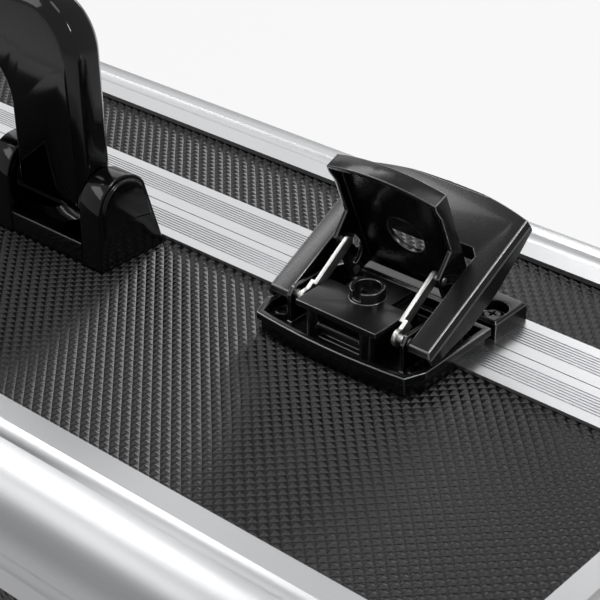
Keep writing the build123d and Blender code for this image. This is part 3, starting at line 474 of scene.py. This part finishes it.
def plated(name, colour, rough):
    """Bright plate with fine scratches and the dull blotches of handling."""
    finish = Finish(name)
    _, spot = finish.place()
    blot = finish.noise(spot, BLOT_SIZE, 4.0)
    scratch = finish.noise(finish.stretched(spot, SCRATCH_STRETCH), 1.0, 2.0)
    tone = finish.between(blot, tuple(0.78 * part for part in colour), colour)
    return finish.set(Base_Color=tone, Metallic=1.0, Roughness=rough + 0.16 * blot,
                      Normal=finish.bump(scratch * 0.5 + blot * 0.5, SCRATCH_DEPTH))


LATCH_BLACK = (0.0032, 0.0032, 0.0036)
latch_black = black_coat("latch_black_coat", LATCH_BLACK, 0.20, 0.010 * MM)
plate_black = black_coat("lock_plate_coat", (0.006, 0.006, 0.0065), 0.26, 0.012 * MM)
bracket_black = black_coat("bracket_gloss", (0.0025, 0.0025, 0.0028), 0.07, 0.008 * MM)
handle_black = black_coat("handle_gloss", (0.0025, 0.0025, 0.0028), 0.06, 0.008 * MM)
# Grey metal for the rounded latch edges: a painted highlight line along each edge.
painted_edge_highlight = plated("painted_edge_highlight", (0.26, 0.26, 0.265), 0.22)
screw_black = black_coat("screw_black", (0.004, 0.004, 0.0045), 0.24, 0.010 * MM)
nickel = plated("nickel_strip", (0.95, 0.94, 0.92), 0.30)
core_metal = plated("lock_core_plate", (0.10, 0.10, 0.105), 0.24)
screw_metal = plated("screw_plate", (0.60, 0.60, 0.61), 0.22)


RUBBER_GRAIN = 0.5 * MM
RUBBER_DEPTH = 0.05 * MM


def rubber_finish():
    """Dull black rubber with a fine grain."""
    finish = Finish("foot_rubber")
    _, spot = finish.place()
    grain = finish.noise(spot, RUBBER_GRAIN, 4.0)
    tone = finish.between(grain, (0.018, 0.018, 0.018), (0.034, 0.034, 0.033))
    return finish.set(Base_Color=tone, Roughness=0.62 + 0.2 * grain,
                      Normal=finish.bump(grain, RUBBER_DEPTH))


rubber = rubber_finish()

# %% [markdown]
# ## Soft edges on the hardware
# A cast or pressed part never has a knife edge: each edge is a tiny round that catches a line of
# light. The imported meshes have sharp edges, so the visible hardware is copied, its loose
# triangles are joined, flat ones are merged into whole faces, and a Bevel rounds the edges. On the
# latch the rounds take a grey metal finish of their own, a painted highlight line along each edge.
# Clamping is off, because the shortest edge of a piece would otherwise shrink every round.

# %% Copy a node with rounded edges
WELD_REACH = 0.002 * MM
FLAT_ANGLE = 1.0
SHARP_ANGLE = 22.0
ROUND_SEGMENTS = 3


def softened(node, radius, finish, edge_finish=None):
    """Join doubles, merge faces that lie flat, then round each edge sharper than SHARP_ANGLE."""
    source = nodes[node]
    mesh = source.data.copy()
    mesh.name = node + "_soft"
    piece = bpy.data.objects.new(node + "_soft", mesh)
    bpy.context.scene.collection.objects.link(piece)
    mesh.materials.clear()
    for each in (finish, edge_finish or finish):
        mesh.materials.append(each)
    mesh.polygons.foreach_set("use_smooth", np.ones(len(mesh.polygons), dtype=bool))
    weld = piece.modifiers.new("weld", "WELD")
    weld.merge_threshold = WELD_REACH
    flat = piece.modifiers.new("flat", "DECIMATE")
    flat.decimate_type = "DISSOLVE"
    flat.angle_limit = np.radians(FLAT_ANGLE)
    bevel = piece.modifiers.new("round", "BEVEL")
    bevel.width = radius
    bevel.segments = ROUND_SEGMENTS
    bevel.limit_method = "ANGLE"
    bevel.angle_limit = np.radians(SHARP_ANGLE)
    bevel.use_clamp_overlap = False
    bevel.harden_normals = True
    # The rounds take the edge finish: on the latch, the grey painted edge highlight.
    bevel.material = 1
    graph = bpy.context.evaluated_depsgraph_get()
    applied = bpy.data.meshes.new_from_object(piece.evaluated_get(graph))
    piece.modifiers.clear()
    piece.data = applied
    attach(piece, source["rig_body"])
    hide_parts(node)


slot_of = {part["node"]: part["material_slot"] for part in frame["record"]["subparts"]}
for side in ("left", "right"):
    low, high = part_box("latch_frame_" + side)
    middle = (low.x + high.x) / 2
    cover_black = black_coat("latch_cover_" + side, LATCH_BLACK, 0.22, 0.010 * MM, middle)
    # The latch pieces get the grey painted edge highlight on their rounded edges.
    softened("latch_flap_" + side, 0.28 * MM, cover_black, painted_edge_highlight)
    softened("latch_frame_" + side, 0.32 * MM, cover_black, painted_edge_highlight)
    softened("latch_tray_" + side, 0.28 * MM, latch_black, painted_edge_highlight)
    softened("latch_strike_" + side, 0.25 * MM, latch_black, painted_edge_highlight)
    softened("lock_plate_" + side, 0.25 * MM, plate_black, painted_edge_highlight)
    softened("latch_links_" + side, 0.12 * MM, nickel)
    softened("handle_bracket_" + side, 0.5 * MM, bracket_black)
softened("handle", 0.6 * MM, handle_black)

# %% [markdown]
# ## Foam lining
# Case foam is cut on a rippled wire into egg-crate sheets: rounded bumps in rows that hold the
# mixer. The height is a product of two cosine waves, and it drops a little more in a narrow
# shoulder along the rim. The wall pads are plain foam with the same shoulder.

# %% Foam material and pads
PORE_SIZE = 0.9 * MM
PORE_DEPTH = 0.25 * MM
FOAM_CLOUD = 12 * MM


def foam_finish():
    """Open-celled grey foam: cells as a bump, and a soft cloudiness in the colour."""
    finish = Finish("foam_grey")
    _, spot = finish.place()
    cell = finish.node("ShaderNodeTexVoronoi", Vector=spot, Scale=1.0 / PORE_SIZE)
    cloud = finish.noise(spot, FOAM_CLOUD, 3.0)
    tone = finish.between(cloud, (0.045, 0.045, 0.05), (0.085, 0.085, 0.09))
    return finish.set(Base_Color=tone, Roughness=0.95, Normal=finish.bump(cell, PORE_DEPTH),
                      Sheen_Weight=0.2)


foam_grey = foam_finish()
FOAM_FLOOR, FOAM_WALL = 22 * MM, 16 * MM
CREST_LENGTH, CREST_DEPTH = 42 * MM, 9 * MM
SHOULDER_WIDTH, SHOULDER_DROP = 3 * MM, 2.5 * MM
FINE_CELL, COARSE_CELL = 3.5 * MM, 6 * MM


def foam_pad(name, low, high, axis, way, crest, cells):
    """A box with one waving face: it drops by crest times (1 - cos u cos v) / 2 below the top."""
    other = [index for index in range(3) if index != axis]
    counts = [max(6, int((high[k] - low[k]) / cells)) for k in other]
    u, v = np.meshgrid(np.linspace(0, 1, counts[0]), np.linspace(0, 1, counts[1]), indexing="ij")
    a = low[other[0]] + u * (high[other[0]] - low[other[0]])
    b = low[other[1]] + v * (high[other[1]] - low[other[1]])
    edge_a = np.minimum(a - low[other[0]], high[other[0]] - a)
    edge_b = np.minimum(b - low[other[1]], high[other[1]] - b)
    rim = np.minimum(edge_a, edge_b)
    turns_a, turns_b = 2 * np.pi * a / CREST_LENGTH, 2 * np.pi * b / CREST_LENGTH
    ripple = 0.5 - 0.5 * np.cos(turns_a) * np.cos(turns_b)
    shoulder = np.clip(1 - rim / SHOULDER_WIDTH, 0, 1) ** 2
    drop = crest * ripple + SHOULDER_DROP * shoulder
    top, bottom = (high[axis], low[axis]) if way > 0 else (low[axis], high[axis])
    points = np.zeros(u.shape + (3,))
    points[..., other[0]], points[..., other[1]] = a, b
    points[..., axis] = top - way * drop
    under = points.copy()
    under[..., axis] = bottom
    number = np.arange(u.size).reshape(u.shape)
    field = [number[:-1, :-1], number[1:, :-1], number[1:, 1:], number[:-1, 1:]]
    quads = np.stack(field, -1).reshape(-1, 4)
    rim_line = rim_of(number)
    following = np.roll(rim_line, -1)
    walls = np.stack([rim_line, rim_line + u.size, following + u.size, following], 1)
    faces = np.concatenate([quads, quads[:, ::-1] + u.size, walls])
    piece = mesh_from(name, np.concatenate([points.reshape(-1, 3), under.reshape(-1, 3)]), faces)
    piece.data.materials.append(foam_grey)
    return outward(piece)


def outward(piece):
    """Turn every face of a closed mesh outwards."""
    shape = bmesh.new()
    shape.from_mesh(piece.data)
    bmesh.ops.recalc_face_normals(shape, faces=shape.faces)
    shape.to_mesh(piece.data)
    shape.free()
    return piece


def place_pad(pad, half):
    """Let a pad stand for the foam of one half, and ride on it."""
    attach(pad, half)
    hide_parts(half + "_foam")


def line_halves():
    """A waving bed with four plain walls in the base, and one waving sheet in the lid."""
    low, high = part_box("base_foam")
    floor_top = low.y + FOAM_FLOOR
    bed_high = (high.x, floor_top, high.z)
    pads = [foam_pad("base_foam_floor", low, bed_high, 1, 1, CREST_DEPTH, FINE_CELL)]
    wall = FOAM_WALL
    spans = (
        ("front", 2, -1, (low.x, floor_top, high.z - wall), (high.x, high.y, high.z)),
        ("rear", 2, 1, (low.x, floor_top, low.z), (high.x, high.y, low.z + wall)),
        ("left", 0, 1, (low.x, floor_top, low.z + wall), (low.x + wall, high.y, high.z - wall)),
        ("right", 0, -1, (high.x - wall, floor_top, low.z + wall), (high.x, high.y, high.z - wall)),
    )
    for name, axis, way, start, end in spans:
        pads.append(foam_pad("base_foam_" + name, start, end, axis, way, 0.0, COARSE_CELL))
    for pad in pads:
        place_pad(pad, "base")
    low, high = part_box("lid_foam")
    place_pad(foam_pad("lid_foam_sheet", low, high, 1, -1, CREST_DEPTH, FINE_CELL), "lid")


line_halves()

# %% [markdown]
# ## The remaining pieces
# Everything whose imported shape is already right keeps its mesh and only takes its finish. Bars
# are told apart by the direction that they run in, because their hair lines follow it.

# %% Hand each remaining node its finish
def finish_for(node):
    """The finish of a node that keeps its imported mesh, by its slot and the way that it lies."""
    slot = slot_of[node]
    if slot == "screw" and node.startswith("latch"):
        return screw_black
    if slot == "panel":
        if "rear" in node:
            return laminate_long
        return laminate_end if "left" in node or "right" in node else laminate_flat
    if slot == "edge_bar":
        if "posts" in node:
            return bar_along[1]
        return bar_along[2] if "left" in node or "right" in node else bar_along[0]
    return {
        "rail": rail_along_x, "corner_cap": cap_metal, "rubber": rubber, "hinge": hinge_metal,
        "screw": screw_metal, "pin": nickel, "lock_core": core_metal,
    }[slot]


for name, node in nodes.items():
    if not node.hide_render:
        node.data.materials.clear()
        node.data.materials.append(finish_for(name))
